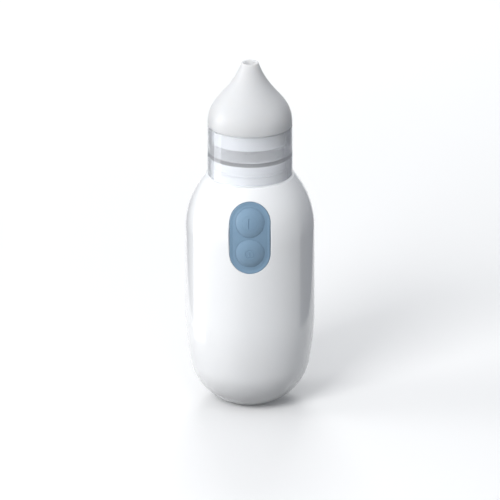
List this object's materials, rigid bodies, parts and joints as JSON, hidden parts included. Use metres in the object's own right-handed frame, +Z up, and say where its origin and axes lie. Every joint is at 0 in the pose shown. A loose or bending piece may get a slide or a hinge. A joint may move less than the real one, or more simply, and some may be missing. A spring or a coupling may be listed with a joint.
{
  "type": "nasal aspirator",
  "caption": "Capsule-shaped battery nasal aspirator with a suction pump, soft-touch keys, a clear lift-off collection cup and a silicone nose tip.",
  "frame": {"origin": "on the floor, under the middle of the foot, on the axis of the handle", "axes": "+Z up along the handle towards the nose tip, -Y towards the key panel at the front, +X to the right of someone who faces the keys"},
  "size_m": [0.0564, 0.0574, 0.1559],
  "materials": {
    "white_shell": "high gloss moulded",
    "white_plug": "satin moulded",
    "grey_rubber": "matte",
    "blue_panel": "soft touch, fine grain",
    "blue_key": "soft touch",
    "black_plastic": "moulded",
    "inner_plastic": "moulded, fine texture",
    "board_green": "solder mask",
    "steel": "zinc plated",
    "spring_steel": "nickel plated",
    "cell_jacket": "printed sleeve",
    "bronze": "sintered",
    "copper": "enamelled wire",
    "magnet": "ferrite",
    "rotor_iron": "stamped laminations",
    "black_rubber": "moulded",
    "tube_silicone": "translucent",
    "seal_silicone": "translucent",
    "foam": "open cell",
    "clear_cup": "clear polycarbonate",
    "tip_silicone": "translucent, satin",
    "lead_red": "insulation",
    "lead_black": "insulation"
  },
  "bodies": {
    "handle": {"board_components": "black_plastic", "board_screws": "steel", "chassis": "inner_plastic", "chassis_screws": "steel", "circuit_board": "board_green", "clamp_screws": "steel", "contact_bridge": "spring_steel", "contact_springs": "spring_steel", "diaphragm": "black_rubber", "exhaust_tube": "tube_silicone", "foot_pad": "grey_rubber", "front_casing": "white_shell", "key_panel": "blue_panel", "left_battery_lead": "lead_red", "left_cell": "cell_jacket", "left_motor_lead": "lead_black", "motor_brushes": "bronze", "motor_bushes": "bronze", "motor_can": "steel", "motor_clamp": "inner_plastic", "motor_end_cap": "black_plastic", "motor_magnets": "magnet", "motor_sleeve": "black_rubber", "motor_terminals": "bronze", "muffler_box": "black_plastic", "muffler_foam": "foam", "neck_seal": "seal_silicone", "neck_seat": "white_plug", "negative_contact": "spring_steel", "port_gasket": "seal_silicone", "positive_contact": "spring_steel", "pump_cover": "black_plastic", "pump_frame": "black_plastic", "pump_screws": "steel", "rear_casing": "white_shell", "rear_screws": "steel", "right_battery_lead": "lead_black", "right_cell": "cell_jacket", "right_motor_lead": "lead_red", "suction_tube": "tube_silicone", "switch_bodies": "black_plastic", "valve_flaps": "black_rubber", "valve_plate": "inner_plastic", "wobble_plate": "inner_plastic"},
    "tip": {"nose_tip": "tip_silicone"},
    "cup": {"collection_cup": "clear_cup", "splash_cap": "clear_cup"},
    "high_key": {"high_key": "blue_key", "high_switch_plunger": "black_plastic"},
    "low_key": {"low_key": "blue_key", "low_switch_plunger": "black_plastic"},
    "cover": {"battery_cover": "white_shell"},
    "rotor": {"motor_shaft": "steel", "rotor_core": "rotor_iron", "rotor_windings": "copper", "commutator": "copper", "crank_hub": "inner_plastic", "crank_pin": "steel"}
  },
  "joints": [
    {"name": "cup_lift", "type": "slide", "parent": "handle", "child": "cup", "axis": [0, 0, 1], "range_m": [0, 0.03]},
    {"name": "tip_pull", "type": "slide", "parent": "cup", "child": "tip", "axis": [0, 0, 1], "range_m": [0, 0.025]},
    {"name": "high_press", "type": "slide", "parent": "handle", "child": "high_key", "axis": [0, 1, 0], "range_m": [0, 0.0005], "stiffness_N_per_m": 2500},
    {"name": "low_press", "type": "slide", "parent": "handle", "child": "low_key", "axis": [0, 1, 0], "range_m": [0, 0.0005], "stiffness_N_per_m": 2500},
    {"name": "cover_pull", "type": "slide", "parent": "handle", "child": "cover", "axis": [0, 1, 0], "range_m": [0, 0.03]},
    {"name": "rotor_spin", "type": "hinge", "parent": "handle", "child": "rotor", "pos_m": [0, -0.0096, 0], "axis": [0, 0, 1], "continuous": true}
  ]
}
